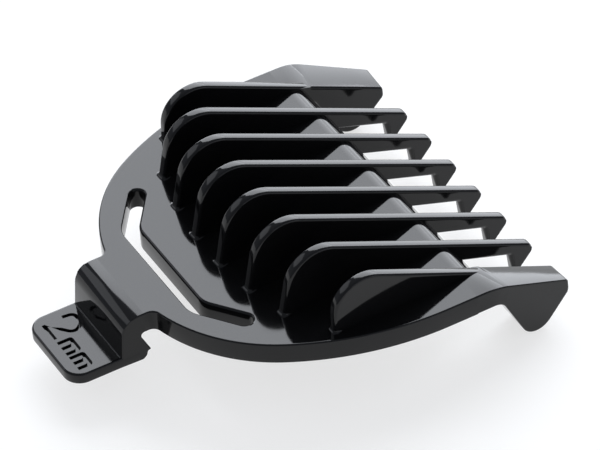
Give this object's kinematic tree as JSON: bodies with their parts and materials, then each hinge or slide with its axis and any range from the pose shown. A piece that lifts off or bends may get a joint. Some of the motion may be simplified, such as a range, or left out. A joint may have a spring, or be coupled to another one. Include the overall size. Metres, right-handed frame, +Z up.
{
  "type": "clipper guide comb",
  "caption": "Clip-on guide comb of a hair clipper: flat plate with a row of tapering guide fins, blade hooks on both side rails and a springy front strap with a snap latch and thumb tab.",
  "frame": {"origin": "under the middle of the comb's outline, level with the bottoms of its blade hooks", "axes": "+X across the comb, +Y from the thumb tab to the fin tips, +Z up from the plate to the fin crowns"},
  "size_m": [0.0392, 0.046, 0.0151],
  "materials": {
    "comb_plastic": "moulded gloss, lightly worn"
  },
  "bodies": {
    "comb": {"base_plate": "comb_plastic", "blade_stop_bar": "comb_plastic", "guide_fin_1": "comb_plastic", "guide_fin_2": "comb_plastic", "guide_fin_3": "comb_plastic", "guide_fin_4": "comb_plastic", "guide_fin_5": "comb_plastic", "guide_fin_6": "comb_plastic", "guide_fin_7": "comb_plastic", "guide_fin_8": "comb_plastic", "side_rail_left": "comb_plastic", "side_rail_right": "comb_plastic", "rail_hook_left": "comb_plastic", "rail_hook_right": "comb_plastic"},
    "latch": {"strap_arm_left": "comb_plastic", "strap_arm_right": "comb_plastic", "latch_bridge": "comb_plastic", "latch_riser": "comb_plastic", "latch_catch": "comb_plastic", "thumb_tab": "comb_plastic"}
  },
  "joints": [
    {"name": "latch_flex", "type": "hinge", "parent": "comb", "child": "latch", "pos_m": [0, -0.0075, 0.00712], "axis": [-1, 0, 0], "range_deg": [0, 10], "stiffness_Nm_per_rad": 0.8, "deforming": ["strap_arm_left", "strap_arm_right"]}
  ]
}
